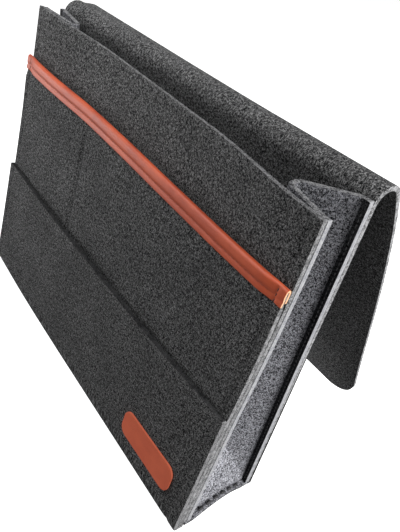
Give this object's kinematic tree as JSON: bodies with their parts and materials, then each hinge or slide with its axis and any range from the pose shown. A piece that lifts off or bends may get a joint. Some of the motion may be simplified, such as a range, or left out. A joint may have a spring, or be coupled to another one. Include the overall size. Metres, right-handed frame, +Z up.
{
  "type": "bedside caddy",
  "caption": "Felt bedside caddy: a gusseted pouch with layered front pockets, a leather-bound pocket edge and a folded flap that tucks under a mattress.",
  "frame": {"origin": "middle of the part's box, on the surface that the caddy stands on", "axes": "+X to the right seen from the front, +Y towards the bed, +Z up"},
  "size_m": [0.33, 0.1784, 0.2706],
  "materials": {
    "felt": "pressed heathered felt, dark charcoal",
    "gusset_felt": "pressed heathered felt, mid grey",
    "leather": "smooth leather, reddish brown, soft sheen",
    "thread": "matt sewing thread"
  },
  "bodies": {
    "back": {"back_panel": "felt", "base_panel": "felt", "gusset_left": "gusset_felt", "gusset_right": "gusset_felt", "back_seam_thread_left": "thread", "back_seam_thread_right": "thread", "base_seam_thread_left": "thread", "base_seam_thread_right": "thread"},
    "flap": {"flap": "felt", "top_fold": "felt"},
    "front": {"front_panel": "felt", "mid_pocket": "felt", "lower_pocket": "felt", "binding": "leather", "label": "leather", "divider_thread": "thread", "binding_thread": "thread", "front_seam_thread_left": "thread", "front_seam_thread_right": "thread"}
  },
  "joints": [
    {"name": "flap_fold", "type": "hinge", "parent": "back", "child": "flap", "pos_m": [0, -0.03011, 0.27236], "axis": [1, 0, 0], "range_deg": [-20, 159], "deforming": ["top_fold"]},
    {"name": "front_swing", "type": "hinge", "parent": "back", "child": "front", "pos_m": [0, -0.07812, 0.01], "axis": [1, 0, 0], "range_deg": [-3, 8], "deforming": ["gusset_left", "gusset_right"]}
  ]
}
